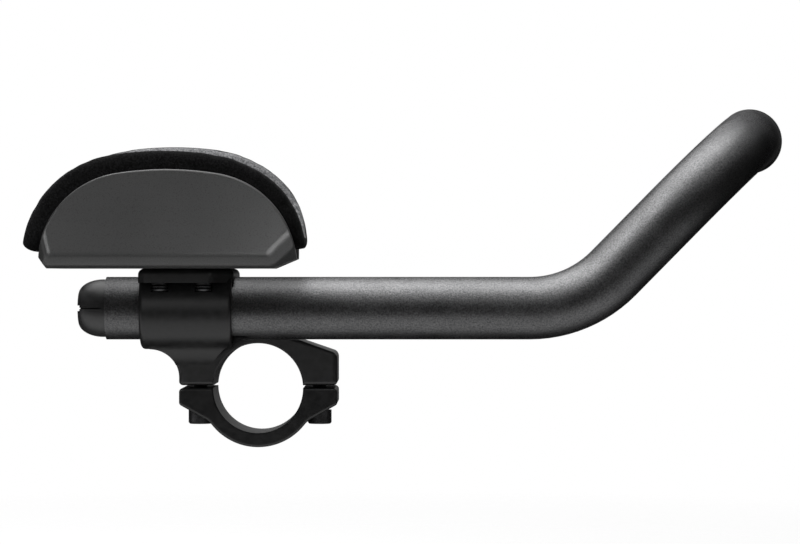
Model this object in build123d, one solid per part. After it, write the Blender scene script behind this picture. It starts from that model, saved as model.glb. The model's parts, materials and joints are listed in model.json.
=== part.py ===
from build123d import *
from math import acos, asin, atan2, cos, degrees, pi, radians, sin, sqrt, tan
import os

# Clip-on aero extension for a road bar, one hand of a pair, with its armrest.
# Millimetres. The origin is the middle of the bar clamp's bore: +X runs forward
# along the tube, +Y points inboard to the middle of the bike, and +Z is up.

# Bar clamp, which takes the handlebar along Y
bar_diameter = 31.8
clamp_width = 32.0
clamp_gap = 1.0
cap_wall = 5.0
bolt_wall = 3.0
lug_margin = 6.6
lug_side_height = 5.8
lug_underside_slope = 29.0
lug_corner_round = 1.4
cap_hollow_radius = 8.0
clamp_edge_round = 1.6
cap_edge_round = 1.0
bore_edge_break = 0.5

# Screws
screw_diameter = 5.0
screw_head_diameter = 8.5
screw_head_height = 5.0
screw_head_break = 0.5
screw_point = 0.5
screw_socket_width = 4.0
screw_socket_depth = 2.6
button_screw_diameter = 6.0
button_head_diameter = 10.5
button_head_height = 3.3
button_head_round = 2.4
button_socket_width = 4.0
button_socket_depth = 2.0
thread_pitch = 1.0
thread_depth = 0.55
thread_clearance = 0.05
hole_clearance = 0.3
head_clearance = 0.4
thread_runout = 1.0
clamp_screw_length = 17.0
pinch_screw_length = 20.0
armrest_screw_length = 12.4
armrest_screw_runout = 0.3
washer_diameter = 12.0
washer_thickness = 1.0

# Extension tube
tube_diameter = 22.2
tube_wall = 2.0
tube_over_bar = 1.3
tube_offset = 14.0
tube_tail = 12.3
tube_fit = 0.05
cradle_clearance = 0.3
straight_run = 105.1
rise_angle = 45.45
rise_radius = 41.6
grip_length = 29.7
turn_radius = 42.1
turn_toe_out = 7.0
tip_length = 9.0

# Tube holder, neck and armrest seat of the bracket
holder_length = 32.4
holder_setback = 8.9
holder_wall = 3.4
holder_rear_round = 1.6
holder_front_round = 1.0
neck_radius = 10.1
gusset_radius = 8.0
gusset_margin = 2.3
shoulder_x = 14.0
shoulder_slope = 19.0
shoulder_round = 2.5
slit_width = 1.6
pinch_offset = 17.0
pinch_spacing = 17.0
ear_margin = 6.5
ear_round = 3.0
seat_height = 2.9
seat_thickness = 5.0
seat_near_reach = 17.7
seat_inboard_reach = 33.5
seat_overhang = 0.7
seat_facet_length = 7.0
seat_facet_depth = 9.5
seat_round = 3.0
seat_edge_round = 2.2
head_recess = 0.5

# Armrest cup
cup_length = 88.2
cup_centre_x = -29.1
cup_width = 86.0
cup_height = 33.7
cup_inboard_rise = 5.0
cup_skew = 1.3
cup_thickness = 3.6
cup_draft = 4.0
cup_corner = 6.0
cup_rim_round = 0.6
cup_top_radius = 110.0
cup_end_radius = 32.0
front_toe_run = 8.3
front_toe_rise = 3.5
front_facet_run = 10.8
front_facet_rise = 10.0
front_facet_turn = 62.0
front_facet_round = 7.0
rear_toe_run = 2.8
rear_toe_rise = 4.0
rear_facet_run = 4.2
rear_facet_rise = 15.0
rear_facet_turn = 50.0
rear_facet_round = 3.5
near_screw_offset = 13.2
inboard_screw_offset = 27.5
armrest_screw_spacing = 15.4
armrest_screw_setback = 1.1
armrest_slot_length = 11.0

# Armrest pad, a foam body with a fabric face, and the hook patches that hold it
foam_thickness = 6.5
face_thickness = 0.8
pad_overhang = 4.8
pad_shift = -1.5
pad_rise = 1.4
pad_outer_corner = 2.0
pad_inner_corner = 12.0
patch_thickness = 1.8
patch_clearance = 0.1
patch_length = 40.0
wall_patch_height = 16.0
wall_patch_lift = 10.0
floor_patch_length = 16.0
floor_patch_width = 30.0
floor_patch_spacing = 50.0

# End plugs
plug_stem_length = 12.0
plug_stem_clearance = 0.1
plug_rib_depth = 0.6
plug_rib_width = 1.6
plug_rib_count = 3
rear_plug_rim_step = 0.9
rear_plug_length = 9.9
rear_plug_end_radius = 5.0
rear_plug_slot = 2.0
rear_plug_slot_depth = 0.9
rear_plug_slit = 0.5
rear_plug_slit_depth = 0.9
rear_plug_rim = 1.2
tip_plug_lip = 0.8
tip_plug_rim = 1.0
tip_plug_dome = 1.8
tip_plug_slot = 1.6
tip_plug_slot_depth = 1.0

# Places worked out from the sizes above
bar_radius = bar_diameter / 2
screw_radius = screw_diameter / 2
button_radius = button_screw_diameter / 2
split_z = clamp_gap
bolt_x = bar_radius + bolt_wall + screw_radius
lug_x = bolt_x + lug_margin
cap_radius = bar_radius + cap_wall
tube_radius = tube_diameter / 2
tube_bore = tube_radius - tube_wall
tube_y = -tube_offset
tube_z = bar_radius + tube_over_bar + tube_radius
crown_z = tube_z - tube_radius
holder_radius = tube_radius + holder_wall
holder_front = -holder_setback
holder_rear = holder_front - holder_length
holder_mid = (holder_front + holder_rear) / 2
under_z = tube_z - holder_radius
seat_z = tube_z + tube_radius + seat_height
pinch_y = tube_y + pinch_offset
ear_y = pinch_y + ear_margin
seat_front = holder_front + seat_overhang
cup_floor_z = seat_z + cup_thickness
near_wall_foot = (cup_centre_x, tube_y - cup_width / 2, seat_z)
armrest_screw_tip = cup_floor_z + washer_thickness - armrest_screw_length
pad_gap = patch_thickness + 2 * patch_clearance
pad_inset = cup_thickness + pad_gap
skew_shift = abs(cup_width * sin(radians(cup_skew)))
end_reach = cup_length / 2 + pad_overhang + abs(pad_shift) + skew_shift + cup_thickness
reach = 4 * cup_length
extra = 1.0


def box_between(low, high):
    size = [b - a for a, b in zip(low, high)]
    middle = [(a + b) / 2 for a, b in zip(low, high)]
    return Pos(*middle) * Box(*size)


def rod_along_x(radius, x_low, x_high, y, z):
    return Pos((x_low + x_high) / 2, y, z) * Rot(0, 90, 0) * Cylinder(radius, x_high - x_low)


def rod_along_y(radius, length):
    return Rot(90, 0, 0) * Cylinder(radius, length)


def hole_down(radius, x, y, z_low, z_high):
    return Pos(x, y, (z_low + z_high) / 2) * Cylinder(radius, z_high - z_low)


def drive_socket(width, depth):
    return extrude(RegularPolygon(width / 2, 6, major_radius=False), -depth)


def screw_shank(length):
    shank = Pos(0, 0, -length / 2) * Cylinder(screw_radius - thread_clearance, length)
    return chamfer(shank.edges().group_by(Axis.Z)[0], screw_point)


def cap_screw(length):
    head = Pos(0, 0, screw_head_height / 2) * Cylinder(screw_head_diameter / 2, screw_head_height)
    head = chamfer(head.edges().group_by(Axis.Z)[-1], screw_head_break)
    socket = Pos(0, 0, screw_head_height) * drive_socket(screw_socket_width, screw_socket_depth)
    return head + screw_shank(length) - socket


def ridged_shank(length):
    # the thread, as rings that stand on a plain core
    crest = button_radius - thread_clearance
    core = crest - thread_depth
    rows = round(length / thread_pitch)
    step = length / rows
    outline = [(0, 0), (core, 0)]
    for row in range(rows):
        outline += [(crest, -step * (row + 0.5)), (core, -step * (row + 1))]
    outline.append((0, -length))
    return revolve(Plane.XZ * make_face(Polyline(*outline, close=True)), Axis.Z)


def button_screw(length):
    head = Pos(0, 0, button_head_height / 2) * Cylinder(button_head_diameter / 2, button_head_height)
    head = fillet(head.edges().group_by(Axis.Z)[-1], button_head_round)
    socket = Pos(0, 0, button_head_height) * drive_socket(button_socket_width, button_socket_depth)
    return head + ridged_shank(length) - socket


# Tube: a straight run, a rise to the grip and a turn inboard, as one bent pipe
rise_direction = Vector(cos(radians(rise_angle)), 0, sin(radians(rise_angle)))
tip_direction = Vector(sin(radians(turn_toe_out)), cos(radians(turn_toe_out)), 0)
turn_angle = acos(rise_direction.dot(tip_direction))
rise_tangent = rise_radius * tan(radians(rise_angle) / 2)
turn_tangent = turn_radius * tan(turn_angle / 2)
tube_rear = Vector(holder_rear - tube_tail, tube_y, tube_z)
rise_corner = Vector(holder_front + straight_run + rise_tangent, tube_y, tube_z)
turn_corner = rise_corner + rise_direction * (rise_tangent + grip_length + turn_tangent)
tube_tip = turn_corner + tip_direction * (turn_tangent + tip_length)


def extension_tube():
    path = FilletPolyline(tube_rear, rise_corner, turn_corner, tube_tip, radius=[rise_radius, turn_radius])
    section = Plane(tube_rear, x_dir=(0, 1, 0), z_dir=(1, 0, 0)) * (Circle(tube_radius) - Circle(tube_bore))
    return sweep(section, path=path)


# Plugs: drawn along +Z, with the tube's end at Z = 0 and the stem below it
def plug_stem():
    stem_radius = tube_bore - plug_stem_clearance
    stem = Pos(0, 0, -plug_stem_length / 2) * Cylinder(stem_radius - plug_rib_depth, plug_stem_length)
    pitch = plug_stem_length / plug_rib_count
    for row in range(plug_rib_count):
        stem += Pos(0, 0, -pitch * (row + 0.5)) * Cylinder(stem_radius, plug_rib_width)
    return stem


def rear_dome(inset):
    rim_radius = tube_radius - rear_plug_rim_step - inset
    end_radius = rear_plug_end_radius - inset
    length = rear_plug_length - inset
    dome = make_face([
        Line((0, 0), (rim_radius, 0)),
        Line((rim_radius, 0), (rim_radius, rear_plug_rim)),
        EllipticalCenterArc(
            (end_radius, rear_plug_rim),
            rim_radius - end_radius,
            length - rear_plug_rim,
            start_angle=0,
            arc_size=90,
        ),
        Line((end_radius, length), (0, length)),
        Line((0, length), (0, 0)),
    ])
    return revolve(Plane.XZ * dome, Axis.Z)


def rear_plug():
    # a coin slot across the end, and a saw-cut groove that runs on from it over the dome
    plug = rear_dome(0) + plug_stem()
    plug -= box_between(
        (-tube_radius, -rear_plug_slot / 2, rear_plug_length - rear_plug_slot_depth),
        (tube_radius, rear_plug_slot / 2, rear_plug_length + extra),
    )
    groove = box_between(
        (-tube_radius, -rear_plug_slit / 2, rear_plug_rim),
        (tube_radius, rear_plug_slit / 2, rear_plug_length + extra),
    )
    plug -= groove - rear_dome(rear_plug_slit_depth)
    return Plane(tube_rear, x_dir=(0, 1, 0), z_dir=(-1, 0, 0)) * plug


def tip_plug():
    rim_radius = tube_radius + tip_plug_lip
    crown = tip_plug_rim + tip_plug_dome
    cap = make_face([
        Line((0, 0), (rim_radius, 0)),
        Line((rim_radius, 0), (rim_radius, tip_plug_rim)),
        EllipticalCenterArc((0, tip_plug_rim), rim_radius, tip_plug_dome, start_angle=0, arc_size=90),
        Line((0, crown), (0, 0)),
    ])
    plug = revolve(Plane.XZ * cap, Axis.Z) + plug_stem()
    plug -= box_between(
        (-rim_radius, -tip_plug_slot / 2, crown - tip_plug_slot_depth),
        (rim_radius, tip_plug_slot / 2, crown + extra),
    )
    return Plane(tube_tip, x_dir=(0, 0, 1), z_dir=tip_direction) * plug


# Bracket: the bar clamp's upper half, the neck, the tube holder and the armrest seat in one forging
def bar_bore():
    # the handlebar's bore, with a broken edge at each of the clamp's two faces
    bore = rod_along_y(bar_radius, reach)
    for side in (-1, 1):
        mouth = Cone(bar_radius, bar_radius + bore_edge_break, bore_edge_break)
        bore += Pos(0, side * (clamp_width - bore_edge_break) / 2, 0) * Rot(-90 * side, 0, 0) * mouth
    return bore


def upper_clamp():
    sweep_centre = (-lug_x - neck_radius, under_z - neck_radius)
    lug_top = crown_z - (lug_x - shoulder_x) * tan(radians(shoulder_slope))
    outline = make_face(Polyline(
        (-lug_x, split_z),
        (lug_x, split_z),
        (lug_x, lug_top),
        (shoulder_x, crown_z),
        (sweep_centre[0], crown_z),
        sweep_centre,
        (-lug_x, sweep_centre[1]),
        close=True,
    ))
    outline = fillet(outline.vertices().sort_by_distance((lug_x, lug_top))[0], shoulder_round)
    for x in (-lug_x, lug_x):
        outline = fillet(outline.vertices().sort_by_distance((x, split_z))[0], lug_corner_round)
    outline -= Pos(*sweep_centre) * Circle(neck_radius)
    block = extrude(Plane.XZ * outline, clamp_width / 2, both=True)
    rims = block.faces().filter_by(Axis.Y).edges()
    rims = rims.filter_by(lambda edge: edge.center().Z < crown_z - 1e-3)
    return fillet(rims.filter_by(lambda edge: edge.center().X > sweep_centre[0] + 1e-3), clamp_edge_round)


def tube_holder():
    holder = rod_along_x(holder_radius, holder_rear, holder_front, tube_y, tube_z)
    holder = fillet(holder.edges().group_by(Axis.X)[0], holder_rear_round)
    holder = fillet(holder.edges().group_by(Axis.X)[-1], holder_front_round)
    # the holder and its ear end inside the seat's plate
    top_z = seat_z - seat_thickness / 2
    holder -= box_between((holder_rear, -reach, top_z), (holder_front, reach, reach))
    ear = box_between((holder_rear, tube_y, under_z), (holder_front, ear_y, top_z))
    ear = fillet(ear.edges().filter_by(Axis.Z).group_by(Axis.Y)[-1], ear_round)
    ear = fillet(ear.edges().filter_by(Axis.Y).group_by(Axis.Z)[0].group_by(Axis.X)[0], holder_rear_round)
    return holder + ear


def armrest_seat():
    near_y = tube_y - seat_near_reach
    inboard_y = tube_y + seat_inboard_reach
    outline = make_face(Polyline(
        (holder_rear, near_y),
        (seat_front - seat_facet_length, near_y),
        (seat_front, near_y + seat_facet_depth),
        (seat_front, inboard_y),
        (holder_rear, inboard_y),
        close=True,
    ))
    outline = fillet(outline.vertices(), seat_round)
    seat = extrude(Pos(0, 0, seat_z) * outline, -seat_thickness)
    return fillet(seat.edges().group_by(Axis.Z)[-1], seat_edge_round)


def neck_gusset():
    # a hollow cheek between the round holder and the clamp's flat near face
    face_y = -clamp_width / 2
    centre_y = face_y - gusset_radius
    across = tube_y - centre_y
    drop = sqrt((holder_radius + gusset_radius) ** 2 - across ** 2)
    share = holder_radius / (holder_radius + gusset_radius)
    holder_touch = (tube_y - across * share, tube_z - drop * share)
    face_touch = (face_y, tube_z - drop)
    turn = (atan2(drop * (1 - share), across * (1 - share))) / 2
    middle = (centre_y + gusset_radius * cos(turn), tube_z - drop + gusset_radius * sin(turn))
    cheek = make_face([
        ThreePointArc(holder_touch, middle, face_touch),
        Polyline(face_touch, (tube_y, face_touch[1]), (tube_y, tube_z), holder_touch),
    ])
    cheek = extrude(Plane.YZ * cheek, lug_x + neck_radius, both=True)
    cheek &= box_between((-lug_x - neck_radius, -reach, 0), (0, reach, tube_z))
    hollow = Pos(-lug_x - neck_radius, 0, under_z - neck_radius) * rod_along_y(neck_radius, reach)
    return cheek - hollow - rod_along_y(bar_radius + gusset_margin, reach)


def bracket_body():
    body = upper_clamp() + tube_holder() + armrest_seat() + neck_gusset()
    body -= rod_along_x(tube_radius + tube_fit, holder_rear - extra, seat_front + extra, tube_y, tube_z)
    body -= rod_along_x(tube_radius + cradle_clearance, holder_front, lug_x + extra, tube_y, tube_z)
    body -= bar_bore()
    body -= box_between(
        (holder_rear - extra, tube_y, tube_z - slit_width / 2),
        (holder_front + extra, ear_y + extra, tube_z + slit_width / 2),
    )
    for x in (-bolt_x, bolt_x):
        top = clamp_screw_seat() + clamp_screw_length + thread_runout
        body -= hole_down(screw_radius, x, 0, 0, top)
    for x in pinch_places():
        seat = seat_z - head_recess - screw_head_height
        body -= hole_down(screw_head_diameter / 2 + head_clearance, x, pinch_y, seat, seat_z + extra)
        body -= hole_down(screw_radius + hole_clearance, x, pinch_y, tube_z, seat)
        body -= hole_down(screw_radius, x, pinch_y, seat - pinch_screw_length - thread_runout, tube_z)
    for x, y in armrest_places():
        body -= hole_down(button_radius, x, y, armrest_screw_tip - armrest_screw_runout, seat_z + extra)
    return body


def pinch_places():
    return [holder_mid - pinch_spacing / 2, holder_mid + pinch_spacing / 2]


def armrest_places():
    # a near pair and an inboard pair, each from rear to front
    middle_x = holder_mid - armrest_screw_setback
    ends = (middle_x - armrest_screw_spacing / 2, middle_x + armrest_screw_spacing / 2)
    return [(x, y) for y in (tube_y - near_screw_offset, tube_y + inboard_screw_offset) for x in ends]


# Lower half of the bar clamp
def clamp_screw_seat():
    seat_x = bolt_x + screw_head_diameter / 4
    return -lug_side_height - (lug_x - seat_x) * tan(radians(lug_underside_slope))


def clamp_cap():
    root_x = bar_radius / 2
    root_z = -lug_side_height - (lug_x - root_x) * tan(radians(lug_underside_slope))
    lugs = make_face(Polyline(
        (-lug_x, 0),
        (lug_x, 0),
        (lug_x, -lug_side_height),
        (root_x, root_z),
        (-root_x, root_z),
        (-lug_x, -lug_side_height),
        close=True,
    ))
    below = Pos(0, -reach / 2) * Rectangle(reach, reach)
    outline = (lugs + Circle(cap_radius)) & below
    corners = outline.vertices().filter_by(lambda vertex: abs(vertex.X) > bolt_x)
    outline = fillet(corners, lug_corner_round)
    inner = outline.vertices().filter_by(lambda vertex: abs(vertex.X) < bolt_x)
    outline = fillet(inner.filter_by(lambda vertex: vertex.Y < -lug_side_height), cap_hollow_radius)
    block = extrude(Plane.XZ * outline, clamp_width / 2, both=True)
    block = fillet(block.faces().filter_by(Axis.Y).edges(), cap_edge_round)
    block -= bar_bore()
    for x in (-bolt_x, bolt_x):
        block -= hole_down(screw_radius + hole_clearance, x, 0, -reach, extra)
        block -= hole_down(screw_head_diameter / 2 + head_clearance, x, 0, -reach, clamp_screw_seat())
    return block


# Armrest: a trough section along X, with its lower corners sliced off, trimmed to an arch in the side view
def trough(inset, corner):
    low = seat_z + inset
    high = seat_z + 2 * cup_height
    lean = tan(radians(cup_draft))
    half_at_floor = cup_width / 2 - inset / cos(radians(cup_draft))
    half_low = half_at_floor + inset * lean
    half_high = half_at_floor + (high - seat_z) * lean
    outline = make_face(Polyline(
        (tube_y - half_high, high),
        (tube_y - half_low, low),
        (tube_y + half_low, low),
        (tube_y + half_high, high),
        close=True,
    ))
    section = Plane.YZ * fillet(outline.vertices().group_by(Axis.Y)[0], corner)
    return extrude(Pos(cup_centre_x, 0, 0) * section, end_reach, both=True)


def facet_normal(side_x, side_y, run, rise, turn):
    tilt = sin(radians(turn)) / sqrt(run ** 2 + rise ** 2)
    return Vector(side_x * tilt * rise, side_y * cos(radians(turn)), -tilt * run)


def faceted_trough(inset, corner):
    # each slice runs over the wall from the floor up to the cup's end, and a round leads into it
    block = trough(inset, corner)
    front = (1, front_facet_run, front_facet_rise, front_facet_turn, front_facet_round)
    rear = (-1, rear_facet_run, rear_facet_rise, rear_facet_turn, rear_facet_round)
    for side_x, run, rise, turn, facet_round in (front, rear):
        for side_y in (-1, 1):
            normal = facet_normal(side_x, side_y, run, rise, turn)
            foot_x = cup_centre_x + side_x * (cup_length / 2 - run)
            foot = Vector(foot_x, tube_y + side_y * cup_width / 2, seat_z)
            half_space = Pos(0, 0, reach / 2) * Box(reach, reach, reach)
            block -= Plane(foot - normal * inset, z_dir=normal) * half_space
            if facet_round > inset:
                inward = (Vector(0, side_y, 0) + normal) * (inset / (1 + cos(radians(turn))))
                on_edge = foot + Vector(side_x * run, 0, rise) - inward
                block = fillet(block.edges().sort_by_distance(on_edge)[0], facet_round - inset)
    return block


def arch(grow):
    # a flat arc on top between two tighter ones, which come down upright at the cup's ends
    half = cup_length / 2
    lean = asin((half - cup_end_radius) / (cup_top_radius - cup_end_radius))
    top_z = seat_z + cup_height - cup_top_radius
    end_z = top_z + (cup_top_radius - cup_end_radius) * cos(lean)
    top = cup_top_radius + grow
    end = cup_end_radius + grow
    middle = (lean + pi / 2) / 2
    low = seat_z - cup_height
    front = [
        (top * sin(lean), top_z + top * cos(lean)),
        (half - cup_end_radius + end * sin(middle), end_z + end * cos(middle)),
        (half + grow, end_z),
    ]
    rear = [(-x, z) for x, z in reversed(front)]
    outline = make_face([
        ThreePointArc(*rear),
        ThreePointArc(rear[2], (0, top_z + top), front[0]),
        ThreePointArc(*front),
        Polyline(front[2], (half + grow, low), (-half - grow, low), rear[0]),
    ])
    prism = Pos(cup_centre_x, 0, 0) * extrude(Plane.XZ * outline, reach, both=True)
    prism = prism.rotate(Axis(near_wall_foot, (1, 0, 0)), degrees(atan2(cup_inboard_rise, cup_width)))
    return prism.rotate(Axis(near_wall_foot, (0, 0, 1)), cup_skew)


def toe_cut(side_x, run, rise):
    end_x = cup_centre_x + side_x * cup_length / 2
    wedge = make_face(Polyline(
        (end_x - 2 * side_x * run, seat_z - rise),
        (end_x + side_x * run, seat_z + 2 * rise),
        (end_x + side_x * run, seat_z - rise),
        close=True,
    ))
    return extrude(Plane.XZ * wedge, reach, both=True).rotate(Axis(near_wall_foot, (0, 0, 1)), cup_skew)


def armrest_cup():
    cup = faceted_trough(0, cup_corner) - faceted_trough(cup_thickness, cup_corner - cup_thickness)
    cup &= arch(0)
    cup -= toe_cut(1, front_toe_run, front_toe_rise)
    cup -= toe_cut(-1, rear_toe_run, rear_toe_rise)
    rim = cup.edges().filter_by(lambda edge: edge.center().Z > seat_z + cup_height / 2)
    rim = rim.filter_by(lambda edge: edge.length > 2 * cup_thickness)
    cup = fillet(rim.filter_by(lambda edge: abs(edge.center().Y - tube_y) > cup_width / 2), cup_rim_round)
    for x, y in armrest_places():
        slot = SlotOverall(armrest_slot_length, button_screw_diameter + 2 * hole_clearance, rotation=90)
        cup -= extrude(Pos(x, y, cup_floor_z) * slot, cup_thickness, both=True)
    return cup


def pad_outline():
    return Pos(pad_shift, 0, pad_rise) * arch(pad_overhang)


def armrest_pad():
    # within the cup the pad follows the sliced corners, and its ends stand out past them in full
    block = trough(pad_inset, pad_outer_corner)
    offcuts = block - faceted_trough(pad_inset, pad_outer_corner)
    hollow = trough(pad_inset + foam_thickness, pad_inner_corner + face_thickness)
    pad = (block - (offcuts & arch(patch_clearance)) - hollow) & pad_outline()
    pocket_top = cup_floor_z + washer_thickness + button_head_height + head_clearance
    for x, y in armrest_places():
        pad -= hole_down(washer_diameter / 2 + head_clearance, x, y, seat_z, pocket_top)
    return pad


def pad_face():
    inset = pad_inset + foam_thickness
    layer = trough(inset, pad_inner_corner + face_thickness)
    layer -= trough(inset + face_thickness, pad_inner_corner)
    return layer & pad_outline()


def hook_patches():
    inset = cup_thickness + patch_clearance
    inner_corner = cup_corner - cup_thickness
    liner = trough(inset, inner_corner) - trough(inset + patch_thickness, inner_corner)
    wall_low = cup_floor_z + wall_patch_lift
    wall_high = wall_low + wall_patch_height
    x_low = cup_centre_x - patch_length / 2
    x_high = cup_centre_x + patch_length / 2
    patches = {
        "hook_patch_outer": liner & box_between((x_low, -reach, wall_low), (x_high, tube_y, wall_high)),
        "hook_patch_inner": liner & box_between((x_low, tube_y, wall_low), (x_high, reach, wall_high)),
    }
    for end, side in (("front", 1), ("rear", -1)):
        x = cup_centre_x + side * floor_patch_spacing / 2
        patches["hook_patch_floor_" + end] = liner & box_between(
            (x - floor_patch_length / 2, tube_y - floor_patch_width / 2, seat_z),
            (x + floor_patch_length / 2, tube_y + floor_patch_width / 2, wall_low),
        )
    return patches


def washer():
    ring = Cylinder(washer_diameter / 2, washer_thickness)
    ring -= Cylinder(button_radius + hole_clearance, washer_thickness)
    return Pos(0, 0, washer_thickness / 2) * ring


def all_parts():
    parts = {
        "extension_tube": extension_tube(),
        "rear_plug": rear_plug(),
        "tip_plug": tip_plug(),
        "bracket_body": bracket_body(),
        "clamp_cap": clamp_cap(),
        "armrest_cup": armrest_cup(),
        "armrest_pad": armrest_pad(),
        "armrest_pad_face": pad_face(),
    }
    parts.update(hook_patches())
    pinch_seat = seat_z - head_recess - screw_head_height
    ends = ("rear", "front")
    for end, clamp_x, pinch_x in zip(ends, (-bolt_x, bolt_x), pinch_places()):
        clamp_place = Pos(clamp_x, 0, clamp_screw_seat()) * Rot(180, 0, 0)
        parts["clamp_bolt_" + end] = clamp_place * cap_screw(clamp_screw_length)
        parts["pinch_bolt_" + end] = Pos(pinch_x, pinch_y, pinch_seat) * cap_screw(pinch_screw_length)
    corners = [side + "_" + end for side in ("near", "inboard") for end in ends]
    for corner, (x, y) in zip(corners, armrest_places()):
        parts["armrest_washer_" + corner] = Pos(x, y, cup_floor_z) * washer()
        screw_place = Pos(x, y, cup_floor_z + washer_thickness)
        parts["armrest_bolt_" + corner] = screw_place * button_screw(armrest_screw_length)
    return parts


os.makedirs("parts", exist_ok=True)
for name, shape in all_parts().items():
    export_step(shape, "parts/" + name + ".step")
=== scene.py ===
import json
import math

import bmesh
import bpy
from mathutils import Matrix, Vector


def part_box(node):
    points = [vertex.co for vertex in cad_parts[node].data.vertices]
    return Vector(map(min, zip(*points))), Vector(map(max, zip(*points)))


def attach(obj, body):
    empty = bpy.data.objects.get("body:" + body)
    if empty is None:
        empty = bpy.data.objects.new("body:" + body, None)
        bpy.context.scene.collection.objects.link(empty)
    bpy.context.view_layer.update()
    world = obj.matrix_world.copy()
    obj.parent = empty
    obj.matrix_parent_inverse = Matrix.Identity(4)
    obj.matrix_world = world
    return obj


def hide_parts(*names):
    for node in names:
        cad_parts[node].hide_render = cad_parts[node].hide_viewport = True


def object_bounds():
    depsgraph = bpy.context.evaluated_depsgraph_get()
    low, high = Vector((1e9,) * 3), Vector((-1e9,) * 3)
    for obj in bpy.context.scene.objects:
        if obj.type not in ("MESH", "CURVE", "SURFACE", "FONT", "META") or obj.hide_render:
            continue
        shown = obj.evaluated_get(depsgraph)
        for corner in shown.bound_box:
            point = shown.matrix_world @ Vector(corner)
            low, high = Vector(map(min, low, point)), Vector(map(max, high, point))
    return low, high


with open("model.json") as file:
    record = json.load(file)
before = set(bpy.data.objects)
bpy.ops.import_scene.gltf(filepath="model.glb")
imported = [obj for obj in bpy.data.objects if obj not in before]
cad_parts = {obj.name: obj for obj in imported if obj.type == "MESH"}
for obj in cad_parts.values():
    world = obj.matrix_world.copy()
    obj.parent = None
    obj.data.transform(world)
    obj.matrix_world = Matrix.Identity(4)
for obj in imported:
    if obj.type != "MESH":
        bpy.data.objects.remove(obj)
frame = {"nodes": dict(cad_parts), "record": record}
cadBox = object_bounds()
nodes = frame["nodes"]
scene = bpy.context.scene
print("frame loaded with", len(nodes), "nodes")

white = (1, 1, 1, 1)
black = (0, 0, 0, 1)
upright = math.radians(90)
noiseRange = (0.3, 0.7)  # where most of a noise's values lie


# small helpers for node trees
def addNode(tree, kind, **settings):
    node = tree.nodes.new(kind)
    for name, value in settings.items():
        setattr(node, name, value)
    return node


def setInputs(node, values):
    for name, value in values.items():
        node.inputs[name].default_value = value


def newFinish(name):
    finish = bpy.data.materials.new(name)
    finish.use_nodes = True
    tree = finish.node_tree
    tree.nodes.clear()
    output = addNode(tree, "ShaderNodeOutputMaterial")
    shader = addNode(tree, "ShaderNodeBsdfPrincipled")
    tree.links.new(shader.outputs["BSDF"], output.inputs["Surface"])
    place = addNode(tree, "ShaderNodeTexCoord").outputs["Object"]
    return finish, tree, shader, place


def noise(tree, place, perMetre, detail=2.0, rough=0.5):
    grain = addNode(tree, "ShaderNodeTexNoise")
    setInputs(grain, {"Scale": perMetre, "Detail": detail, "Roughness": rough})
    tree.links.new(place, grain.inputs["Vector"])
    return grain.outputs["Fac"]


def cells(tree, place, perMetre, feature="F1"):
    dots = addNode(tree, "ShaderNodeTexVoronoi", feature=feature)
    setInputs(dots, {"Scale": perMetre})
    tree.links.new(place, dots.inputs["Vector"])
    return dots.outputs["Distance"]


def spread(tree, source, fromRange, toRange):
    ranged = addNode(tree, "ShaderNodeMapRange")
    setInputs(ranged, dict(zip(("From Min", "From Max"), fromRange)))
    setInputs(ranged, dict(zip(("To Min", "To Max"), toRange)))
    tree.links.new(source, ranged.inputs["Value"])
    return ranged.outputs["Result"]


def tint(tree, source, dark, light, fromRange=noiseRange):
    ramp = addNode(tree, "ShaderNodeValToRGB")
    for stop, position, colour in zip(ramp.color_ramp.elements, fromRange, (dark, light)):
        stop.position = position
        stop.color = (*colour, 1.0)
    tree.links.new(source, ramp.inputs["Fac"])
    return ramp.outputs["Color"]


def relief(tree, shader, *layers):
    normal = None
    for height, depth in layers:
        bump = addNode(tree, "ShaderNodeBump")
        setInputs(bump, {"Strength": 1.0, "Distance": depth})
        tree.links.new(height, bump.inputs["Height"])
        if normal is not None:
            tree.links.new(normal, bump.inputs["Normal"])
        normal = bump.outputs["Normal"]
    tree.links.new(normal, shader.inputs["Normal"])


def hardCoat(tree, shader, look, colourBy, roughBy):
    colour = tint(tree, colourBy, look["dark"], look["light"])
    rough = spread(tree, roughBy, noiseRange, look["rough"])
    tree.links.new(colour, shader.inputs["Base Color"])
    tree.links.new(rough, shader.inputs["Roughness"])


def softCoat(tree, shader, look, colourBy):
    colour = tint(tree, colourBy, look["dark"], look["light"], look["range"])
    tree.links.new(colour, shader.inputs["Base Color"])
    setInputs(shader, {
        "Roughness": look["rough"],
        "Specular IOR Level": look["gloss"],
        "Sheen Weight": look["sheen"],
        "Sheen Roughness": look["sheenRough"],
    })


# one finish for each slot of the record
tubeFinish = {
    "dark": (0.044, 0.044, 0.045),
    "light": (0.102, 0.102, 0.103),
    "edge": (0.25, 0.25, 0.25, 1.0),
    "grainPerMetre": 1900.0,
    "grainDepth": 0.00008,
    "patchPerMetre": 90.0,
    "rough": (0.40, 0.48),
}


def beadBlasted():
    finish, tree, shader, place = newFinish("beadBlastedBlack")
    grain = noise(tree, place, tubeFinish["grainPerMetre"], rough=0.6)
    patch = noise(tree, place, tubeFinish["patchPerMetre"], detail=3.0)
    hardCoat(tree, shader, tubeFinish, grain, patch)
    setInputs(shader, {"Metallic": 1.0, "Specular Tint": tubeFinish["edge"]})
    relief(tree, shader, (grain, tubeFinish["grainDepth"]))
    return finish


bracketFinish = {
    "dark": (0.007, 0.007, 0.0072),
    "light": (0.012, 0.012, 0.0123),
    "peelPerMetre": 420.0,
    "peelDepth": 0.00003,
    "finePerMetre": 5200.0,
    "fineDepth": 0.000006,
    "rough": (0.34, 0.42),
    "ior": 1.36,
}


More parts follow.
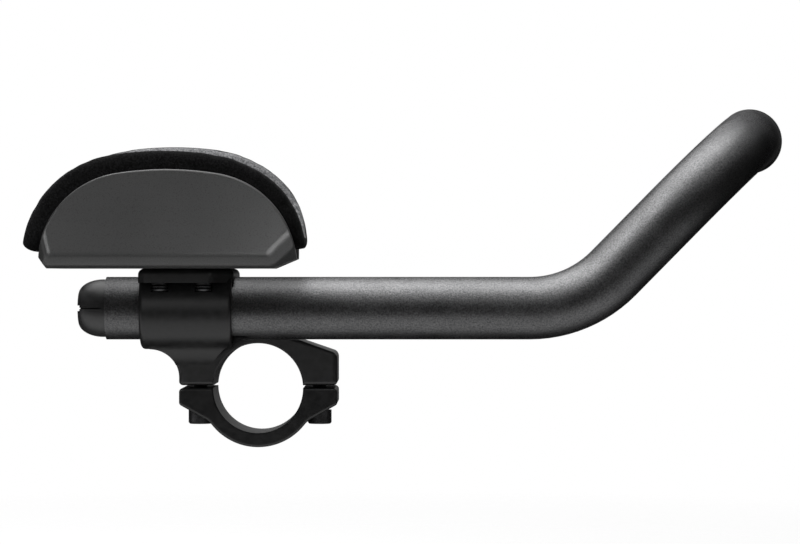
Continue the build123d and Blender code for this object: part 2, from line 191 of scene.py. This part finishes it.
def satinBlack():
    finish, tree, shader, place = newFinish("satinBlackForging")
    peel = noise(tree, place, bracketFinish["peelPerMetre"])
    fine = noise(tree, place, bracketFinish["finePerMetre"], detail=1.0)
    hardCoat(tree, shader, bracketFinish, peel, peel)
    setInputs(shader, {"IOR": bracketFinish["ior"]})
    relief(tree, shader, (peel, bracketFinish["peelDepth"]), (fine, bracketFinish["fineDepth"]))
    return finish


cupFinish = {
    "dark": (0.052, 0.052, 0.052),
    "light": (0.060, 0.060, 0.060),
    "flowPerMetre": 40.0,
    "texturePerMetre": 3400.0,
    "textureDepth": 0.000018,
    "rough": (0.26, 0.32),
    "ior": 1.36,
}


def mouldedGrey():
    finish, tree, shader, place = newFinish("mouldedGreyPlastic")
    texture = noise(tree, place, cupFinish["texturePerMetre"])
    flow = noise(tree, place, cupFinish["flowPerMetre"])
    hardCoat(tree, shader, cupFinish, flow, texture)
    setInputs(shader, {"IOR": cupFinish["ior"]})
    relief(tree, shader, (texture, cupFinish["textureDepth"]))
    return finish


plugFinish = {
    "dark": (0.010, 0.010, 0.0105),
    "light": (0.016, 0.016, 0.0165),
    "texturePerMetre": 2400.0,
    "textureDepth": 0.00002,
    "rough": (0.38, 0.50),
}


def softBlack():
    finish, tree, shader, place = newFinish("softBlackPlastic")
    texture = noise(tree, place, plugFinish["texturePerMetre"])
    hardCoat(tree, shader, plugFinish, texture, texture)
    relief(tree, shader, (texture, plugFinish["textureDepth"]))
    return finish


screwFinish = {
    "dark": (0.035, 0.035, 0.036),
    "light": (0.060, 0.060, 0.062),
    "patchPerMetre": 300.0,
    "turningPerMetre": 1500.0,
    "turningDepth": 0.00001,
    "rough": (0.32, 0.46),
}


def blackOxide():
    finish, tree, shader, place = newFinish("blackOxideSteel")
    turning = noise(tree, place, screwFinish["turningPerMetre"], detail=3.0, rough=0.6)
    patch = noise(tree, place, screwFinish["patchPerMetre"])
    hardCoat(tree, shader, screwFinish, patch, turning)
    setInputs(shader, {"Metallic": 1.0})
    relief(tree, shader, (turning, screwFinish["turningDepth"]))
    return finish


hookFinish = {
    "dark": (0.006, 0.006, 0.006),
    "light": (0.020, 0.020, 0.021),
    "hooksPerMetre": 900.0,
    "hookDepth": 0.0004,
    "rough": 0.7,
}


def hookTape():
    finish, tree, shader, place = newFinish("hookTape")
    hooks = cells(tree, place, hookFinish["hooksPerMetre"])
    colour = tint(tree, hooks, hookFinish["light"], hookFinish["dark"])
    tree.links.new(colour, shader.inputs["Base Color"])
    setInputs(shader, {"Roughness": hookFinish["rough"]})
    relief(tree, shader, (hooks, -hookFinish["hookDepth"]))
    return finish


foamFinish = {
    "dark": (0.0015, 0.0015, 0.0015),
    "light": (0.012, 0.012, 0.0125),
    "range": (0.42, 0.75),
    "pilePerMetre": 1700.0,
    "pileDepth": 0.00025,
    "clumpsPerMetre": 260.0,
    "clumpDepth": 0.0002,
    "rough": 0.95,
    "gloss": 0.04,
    "sheen": 0.02,
    "sheenRough": 0.5,
}


def loopBackedFoam():
    finish, tree, shader, place = newFinish("loopBackedFoam")
    pile = noise(tree, place, foamFinish["pilePerMetre"], detail=4.0, rough=0.7)
    clumps = noise(tree, place, foamFinish["clumpsPerMetre"], detail=3.0, rough=0.6)
    softCoat(tree, shader, foamFinish, pile)
    relief(tree, shader, (clumps, foamFinish["clumpDepth"]), (pile, foamFinish["pileDepth"]))
    return finish


fabricFinish = {
    "dark": (0.035, 0.035, 0.037),
    "light": (0.22, 0.22, 0.225),
    "range": (0.36, 0.66),
    "knitPerMetre": 620.0,
    "knitDepth": 0.0005,
    "fuzzPerMetre": 1500.0,
    "fuzzDepth": 0.0003,
    "rough": 0.92,
    "gloss": 0.2,
    "sheen": 0.12,
    "sheenRough": 0.4,
}


def brushedKnit():
    finish, tree, shader, place = newFinish("brushedKnit")
    knit = cells(tree, place, fabricFinish["knitPerMetre"], "SMOOTH_F1")
    fuzz = noise(tree, place, fabricFinish["fuzzPerMetre"], detail=4.0, rough=0.7)
    softCoat(tree, shader, fabricFinish, fuzz)
    relief(tree, shader, (knit, -fabricFinish["knitDepth"]), (fuzz, fabricFinish["fuzzDepth"]))
    return finish


finishes = {
    "tube": beadBlasted(),
    "bracket": satinBlack(),
    "screw": blackOxide(),
    "cup": mouldedGrey(),
    "pad": loopBackedFoam(),
    "pad_fabric": brushedKnit(),
    "plug": softBlack(),
    "hook_tape": hookTape(),
}
for part in frame["record"]["subparts"]:
    mesh = nodes[part["node"]].data
    mesh.materials.clear()
    mesh.materials.append(finishes[part["material_slot"]])
print("finishes on", len(nodes), "nodes")


# armrest pad: swollen a little in a cloth run, then parted into foam and fabric
padMake = {
    "joinWithin": 0.000001,
    "voxel": 0.0022,  # the even mesh
    "fineVoxel": 0.0007,  # the finer one that it is drawn on to
    "drawRounds": 4,
    "smoothing": 3,
    "smoothShare": 0.5,
    "swell": 3.0,
    "mostSwell": 0.0012,
    "frames": 20,
    "quality": 6,
    "mass": 0.05,
    "stiffness": 12,
    "bending": 4,
    "heldTilt": -0.3,  # the three held values say which faces rest on the cup
    "heldSide": 0.75,
    "heldBelow": -0.6,
    "rearRound": 0.0055,
    "rearSkew": math.radians(1.3),
    "frontLift": 0.0015,
    "liftFrom": -0.004,
    "liftTo": 0.017,
    "wrap": 0.0012,  # how far the fabric reaches over the rim
    "draft": math.radians(4),
    "innerCorner": 0.0128,
    "cornerSteps": 12,
    "weld": 0.00004,
    "creaseAngle": math.radians(40),
}
padLow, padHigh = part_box("armrest_pad")
faceLow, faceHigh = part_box("armrest_pad_face")
padMiddle = (padLow + padHigh) / 2


def meshObject(name, mesh):
    piece = bpy.data.objects.new(name, mesh)
    scene.collection.objects.link(piece)
    return piece


def objectFrom(name, work):
    mesh = bpy.data.meshes.new(name)
    work.to_mesh(mesh)
    work.free()
    return meshObject(name, mesh)


def applyModifiers(piece):
    graph = bpy.context.evaluated_depsgraph_get()
    graph.update()
    made = bpy.data.meshes.new_from_object(piece.evaluated_get(graph))
    piece.modifiers.clear()
    piece.data = made


def voxelPad(name, size):
    work = bmesh.new()
    for source in ("armrest_pad", "armrest_pad_face"):
        work.from_mesh(nodes[source].data)
    bmesh.ops.remove_doubles(work, verts=work.verts, dist=padMake["joinWithin"])
    pad = objectFrom(name, work)
    remesh = pad.modifiers.new("remesh", "REMESH")
    remesh.mode = "VOXEL"
    remesh.voxel_size = size
    applyModifiers(pad)
    return pad


def drawOn(pad, shape):
    hug = pad.modifiers.new("hug", "SHRINKWRAP")
    hug.target = shape
    hug.wrap_method = "NEAREST_SURFACEPOINT"
    smooth = pad.modifiers.new("smooth", "SMOOTH")
    smooth.factor = padMake["smoothShare"]
    smooth.iterations = padMake["smoothing"]
    applyModifiers(pad)


def restsOnCup(vertex):
    out = Vector((0, math.copysign(1, vertex.co.y - padMiddle.y), padMake["heldTilt"]))
    onWall = vertex.normal.dot(out) > padMake["heldSide"]
    return onWall or vertex.normal.z < padMake["heldBelow"]


def swell(pad):
    start = [vertex.co.copy() for vertex in pad.data.vertices]
    cloth = pad.modifiers.new("swell", "CLOTH")
    cloth.settings.quality = padMake["quality"]
    cloth.settings.mass = padMake["mass"]
    cloth.settings.tension_stiffness = padMake["stiffness"]
    cloth.settings.compression_stiffness = padMake["stiffness"]
    cloth.settings.bending_stiffness = padMake["bending"]
    cloth.settings.use_pressure = True
    cloth.settings.uniform_pressure_force = padMake["swell"]
    cloth.settings.effector_weights.gravity = 0
    cloth.collision_settings.use_collision = False
    held = pad.vertex_groups.new(name="held")
    held.add([v.index for v in pad.data.vertices if restsOnCup(v)], 1.0, "REPLACE")
    cloth.settings.vertex_group_mass = "held"
    cloth.point_cache.frame_start = 1
    cloth.point_cache.frame_end = padMake["frames"]
    for step in range(1, padMake["frames"] + 1):
        scene.frame_set(step)
    applyModifiers(pad)
    for vertex, before in zip(pad.data.vertices, start):
        move = vertex.co - before
        if move.length > padMake["mostSwell"]:
            vertex.co = before + move.normalized() * padMake["mostSwell"]
    scene.frame_set(1)


def roundRear(pad):
    # the soft lower edge of the rear end, which is cut a little askew
    radius = padMake["rearRound"]
    low = min(vertex.co.z for vertex in pad.data.vertices)
    for vertex in pad.data.vertices:
        rear = padLow.x + (padHigh.y - vertex.co.y) * math.tan(padMake["rearSkew"])
        out = Vector((vertex.co.x - rear - radius, 0, vertex.co.z - low - radius))
        if out.x < 0 and out.z < 0 and out.length > radius:
            vertex.co += out * (radius / out.length - 1)


def liftFront(pad):
    # past the cup's floor nothing holds the front end down
    start, end = padMake["liftFrom"], padMake["liftTo"]
    for vertex in pad.data.vertices:
        share = min(max((vertex.co.x - start) / (end - start), 0.0), 1.0)
        vertex.co.z += padMake["frontLift"] * share * share * (3 - 2 * share)


def makePad():
    # an even mesh, drawn on to a finer one so that its rims run without steps
    pad = voxelPad("padWork", padMake["voxel"])
    shape = voxelPad("padShape", padMake["fineVoxel"])
    for drawRound in range(padMake["drawRounds"]):
        drawOn(pad, shape)
    bpy.data.objects.remove(shape)
    swell(pad)
    roundRear(pad)
    liftFront(pad)
    finer = pad.modifiers.new("finer", "SUBSURF")
    finer.levels = finer.render_levels = 1
    applyModifiers(pad)
    return pad


def troughOutline():
    # where foam and fabric meet, read off the fabric node: a flat floor, two rounds
    # and leaning walls, set out a little so that the fabric covers the rim's inner edge
    points = [vertex.co for vertex in nodes["armrest_pad_face"].data.vertices]
    near = min(points, key=lambda point: point.y)
    far = max(points, key=lambda point: point.y)
    draft, wrap, steps = padMake["draft"], padMake["wrap"], padMake["cornerSteps"]
    floor, corner = faceLow.z - wrap, padMake["innerCorner"] + wrap
    lean, sweep = math.tan(draft), math.pi / 2 - draft
    start = near.y + (near.z - floor) * lean - wrap / math.cos(draft)
    end = far.y - (far.z - floor) * lean + wrap / math.cos(draft)
    inset = corner * math.tan(sweep / 2)
    top = faceHigh.z - floor + padMake["innerCorner"]
    outline = [(start - top * lean, floor + top)]
    for centre, first in ((start + inset, math.pi + draft), (end - inset, -math.pi / 2)):
        for step in range(steps + 1):
            angle = first + sweep * step / steps
            height = floor + corner * (1 + math.sin(angle))
            outline.append((centre + corner * math.cos(angle), height))
    outline.append((end + top * lean, floor + top))
    return outline


def troughCutter():
    work = bmesh.new()
    margin = padMake["innerCorner"]
    ring = [work.verts.new((faceLow.x - margin, y, z)) for y, z in troughOutline()]
    side = work.faces.new(ring)
    grown = bmesh.ops.extrude_face_region(work, geom=[side])
    moved = [part for part in grown["geom"] if isinstance(part, bmesh.types.BMVert)]
    bmesh.ops.translate(work, verts=moved, vec=(faceHigh.x - faceLow.x + 2 * margin, 0, 0))
    bmesh.ops.recalc_face_normals(work, faces=work.faces)
    return objectFrom("troughCutter", work)


def dropMidpoints(work):
    midpoints = [vertex for vertex in work.verts if len(vertex.link_edges) == 2]
    bmesh.ops.dissolve_verts(work, verts=midpoints)


def cleanCut(mesh):
    # points halfway along an edge and slivers that the cut leaves
    work = bmesh.new()
    work.from_mesh(mesh)
    dropMidpoints(work)
    bmesh.ops.remove_doubles(work, verts=work.verts, dist=padMake["weld"])
    bmesh.ops.dissolve_degenerate(work, edges=work.edges, dist=padMake["weld"])
    dropMidpoints(work)
    work.to_mesh(mesh)
    work.free()


def cutFrom(name, source, cutter, operation, finish):
    piece = meshObject(name, source.data.copy())
    cut = piece.modifiers.new("cut", "BOOLEAN")
    cut.operation = operation
    cut.solver = "EXACT"
    cut.object = cutter
    applyModifiers(piece)
    cleanCut(piece.data)
    piece.data.materials.clear()
    piece.data.materials.append(finish)
    piece.data.polygons.foreach_set("material_index", [0] * len(piece.data.polygons))
    piece.data.shade_smooth()
    piece.data.set_sharp_from_angle(angle=padMake["creaseAngle"])
    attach(piece, "root")
    return piece


padWork = makePad()
cutter = troughCutter()
foam = cutFrom("armrestFoam", padWork, cutter, "DIFFERENCE", finishes["pad"])
fabric = cutFrom("armrestFabric", padWork, cutter, "INTERSECT", finishes["pad_fabric"])
for spare in (padWork, cutter):
    bpy.data.objects.remove(spare)
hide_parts("armrest_pad")
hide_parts("armrest_pad_face")
foamFaces, fabricFaces = len(foam.data.polygons), len(fabric.data.polygons)
print("pad has", foamFaces, "foam faces and", fabricFaces, "fabric faces")


# stage: floor, sky, lamps, cards and camera
stageSet = {
    "floorDrop": 0.06,
    "floorRadius": 0.6,
    "floorSides": 96,
    "floorFade": 0.25,  # the radius from which the floor thins out
    "floorColour": (0.20, 0.20, 0.20),
    "floorMottle": 1.01,
    "mottlePerMetre": 3.0,
    "floorRough": 0.9,
    "floorGlow": 0.66,
    "cardLift": 0.002,
    "skyFill": 0.15,
    "skyBelow": 0.03,
    "skyFade": (-0.1, 0.2),
}
floorZ = cadBox[0].z - stageSet["floorDrop"]
stageMiddle = (cadBox[0] + cadBox[1]) / 2


def onlySeen(tree):
    # white for what looks straight at the stage, mirrors it or looks through to it
    path = addNode(tree, "ShaderNodeLightPath")
    first = addNode(tree, "ShaderNodeMath", operation="MAXIMUM")
    both = addNode(tree, "ShaderNodeMath", operation="MAXIMUM")
    tree.links.new(path.outputs["Is Camera Ray"], first.inputs[0])
    tree.links.new(path.outputs["Is Glossy Ray"], first.inputs[1])
    tree.links.new(first.outputs[0], both.inputs[0])
    tree.links.new(path.outputs["Is Transmission Ray"], both.inputs[1])
    return both.outputs[0]


def makeWorld():
    world = bpy.data.worlds.new("studio")
    scene.world = world
    world.use_nodes = True
    tree = world.node_tree
    tree.nodes.clear()
    output = addNode(tree, "ShaderNodeOutputWorld")
    sky = addNode(tree, "ShaderNodeBackground")
    setInputs(sky, {"Color": white})
    # as light, the sky is dim and grows dimmer below the horizon
    toward = addNode(tree, "ShaderNodeSeparateXYZ")
    tree.links.new(addNode(tree, "ShaderNodeTexCoord").outputs["Generated"], toward.inputs[0])
    dimRange = (stageSet["skyBelow"], stageSet["skyFill"])
    dim = spread(tree, toward.outputs["Z"], stageSet["skyFade"], dimRange)
    level = addNode(tree, "ShaderNodeMath", operation="MAXIMUM")
    tree.links.new(onlySeen(tree), level.inputs[0])
    tree.links.new(dim, level.inputs[1])
    tree.links.new(level.outputs[0], sky.inputs["Strength"])
    tree.links.new(sky.outputs[0], output.inputs["Surface"])


def makeFloor():
    # a pale disc that thins out to the white round it
    radius, sides = stageSet["floorRadius"], stageSet["floorSides"]
    work = bmesh.new()
    bmesh.ops.create_circle(work, cap_ends=True, segments=sides, radius=radius)
    bmesh.ops.translate(work, verts=work.verts, vec=(0, 0, floorZ))
    floor = objectFrom("floor", work)
    finish, tree, shader, place = newFinish("paleFloor")
    mottle = noise(tree, place, stageSet["mottlePerMetre"])
    dark = stageSet["floorColour"]
    light = tuple(level * stageSet["floorMottle"] for level in dark)
    glow = spread(tree, onlySeen(tree), (0, 1), (0, stageSet["floorGlow"]))
    away = addNode(tree, "ShaderNodeVectorMath", operation="LENGTH")
    tree.links.new(place, away.inputs[0])
    solid = spread(tree, away.outputs["Value"], (stageSet["floorFade"], radius), (1, 0))
    tree.links.new(tint(tree, mottle, dark, light), shader.inputs["Base Color"])
    tree.links.new(glow, shader.inputs["Emission Strength"])
    tree.links.new(solid, shader.inputs["Alpha"])
    setInputs(shader, {
        "Roughness": stageSet["floorRough"],
        "Specular IOR Level": 0.0,
        "Emission Color": white,
    })
    floor.data.materials.append(finish)


makeWorld()
makeFloor()
print("floor and sky made")


# soft boxes; some light only a few pieces or leave a few out, and some shine past the armrest
lampSet = {
    "keyBox": {
        "place": (-0.05, 0.10, 1.0), "size": (0.9, 1.3), "power": 16.0,
    },
    "tubeBox": {
        "place": (-0.05, 0.10, 1.0), "size": (0.9, 1.3), "power": 12.0,
        "lightsOnly": ("extension_tube", "rear_plug", "tip_plug"), "pastArmrest": True,
    },
    "sideBox": {
        "place": (-0.65, -0.50, 0.80), "size": (0.70, 0.70), "power": 13.0,
        "leavesOut": ("armrest_cup", "rear_plug"),
    },
    "fillBox": {
        "place": (0.15, -1.5, 1.15), "size": (1.2, 0.8), "power": 12.5,
        "leavesOut": ("extension_tube", "rear_plug", "bracket_body", "clamp_cap"),
        "pastArmrest": True,
    },
    "bracketBox": {
        "place": (-0.30, -1.10, 0.30), "size": (0.6, 0.5), "power": 2.0,
        "lightsOnly": ("bracket_body",),
    },
    "frontGlint": {
        "place": (0.12, -0.36, -0.06), "size": (0.22, 0.14), "power": 1.3,
        "lightsOnly": ("armrest_cup",), "glossOnly": True,
    },
    "rearGlint": {
        "place": (-0.36, -0.58, -0.03), "size": (0.25, 0.25), "power": 2.4,
        "lightsOnly": ("armrest_cup",), "glossOnly": True,
    },
}


def lampGroup(name, pieces, state):
    group = bpy.data.collections.new(name)
    for piece in pieces:
        group.objects.link(piece)
    for entry in group.collection_objects:
        entry.light_linking.link_state = state
    return group


def softBox(name, passed):
    lampLook = lampSet[name]
    lamp = bpy.data.lights.new(name, "AREA")
    lamp.shape = "RECTANGLE"
    lamp.size, lamp.size_y = lampLook["size"]
    lamp.energy = lampLook["power"]
    box = bpy.data.objects.new(name, lamp)
    scene.collection.objects.link(box)
    box.location = lampLook["place"]
    box.rotation_euler = (stageMiddle - box.location).to_track_quat("-Z", "Y").to_euler()
    box.visible_camera = False
    box.visible_diffuse = not lampLook.get("glossOnly", False)
    for key, state in (("lightsOnly", "INCLUDE"), ("leavesOut", "EXCLUDE")):
        if key in lampLook:
            pieces = [nodes[node] for node in lampLook[key]]
            box.light_linking.receiver_collection = lampGroup(name + "Pieces", pieces, state)
    if lampLook.get("pastArmrest", False):
        box.light_linking.blocker_collection = passed


armrest = [piece for name, piece in nodes.items() if name.startswith(("armrest_", "hook_"))]
armrestOut = lampGroup("armrestOut", armrest + [foam, fabric], "EXCLUDE")
for lampName in lampSet:
    softBox(lampName, armrestOut)
print("lamps made:", len(lampSet))


# cards that only mirrors see, most of them dark, as studio flags are
cardZ = floorZ + stageSet["cardLift"]
flat, across, along = (0, 0, 0), (upright, 0, 0), (0, upright, 0)
cardSet = {
    "frontCard": {
        "turn": across, "place": (0.05, -1.35, 0.36), "size": (2.8, 0.88), "glow": 0.05,
    },
    "rightCard": {
        "turn": along, "place": (1.2, 0.1, 0.36), "size": (0.88, 2.9), "glow": 0.05,
    },
    "leftCard": {
        "turn": along, "place": (-1.1, 0.1, 0.36), "size": (0.88, 2.9), "glow": 0.05,
    },
    "floorFrontCard": {
        "turn": flat, "place": (0.05, -0.80, cardZ), "size": (2.4, 1.2), "glow": 0.05,
    },
    "backCard": {
        "turn": across, "place": (0.05, 1.5, 0.28), "size": (3.0, 0.72), "glow": 0.20,
    },
    "floorLightCard": {
        "turn": flat, "place": (-0.10, -0.105, cardZ), "size": (0.8, 0.19), "glow": 1.5,
    },
    "floorRightCard": {
        "turn": flat, "place": (0.80, -0.105, cardZ), "size": (0.98, 0.19), "glow": 0.05,
    },
    "floorBackCard": {
        "turn": flat, "place": (0.05, 0.79, cardZ), "size": (2.4, 1.6), "glow": 0.05,
    },
}


def stageCard(name):
    cardLook = cardSet[name]
    work = bmesh.new()
    bmesh.ops.create_grid(work, x_segments=1, y_segments=1, size=0.5)  # a unit square
    bmesh.ops.scale(work, verts=work.verts, vec=(*cardLook["size"], 1))
    card = objectFrom(name, work)
    finish, _, shader, _ = newFinish(name)
    setInputs(shader, {
        "Base Color": black,
        "Roughness": 1.0,
        "Specular IOR Level": 0.0,
        "Emission Color": white,
        "Emission Strength": cardLook["glow"],
    })
    card.data.materials.append(finish)
    card.location = cardLook["place"]
    card.rotation_euler = cardLook["turn"]
    for ray in ("camera", "diffuse", "transmission", "volume_scatter", "shadow"):
        setattr(card, "visible_" + ray, False)


for cardName in cardSet:
    stageCard(cardName)
print("cards made:", len(cardSet))


cameraSet = {
    "place": (0.0502, -1.064, 0.0411),
    "lens": 133.4,
    "sensor": 36.0,
}


def makeCamera():
    lens = bpy.data.cameras.new("camera")
    lens.lens = cameraSet["lens"]
    lens.sensor_width = cameraSet["sensor"]
    camera = bpy.data.objects.new("camera", lens)
    scene.collection.objects.link(camera)
    camera.location = cameraSet["place"]
    camera.rotation_euler = (upright, 0, 0)
    scene.camera = camera


makeCamera()
scene.view_settings.view_transform = "Standard"
print("camera set")
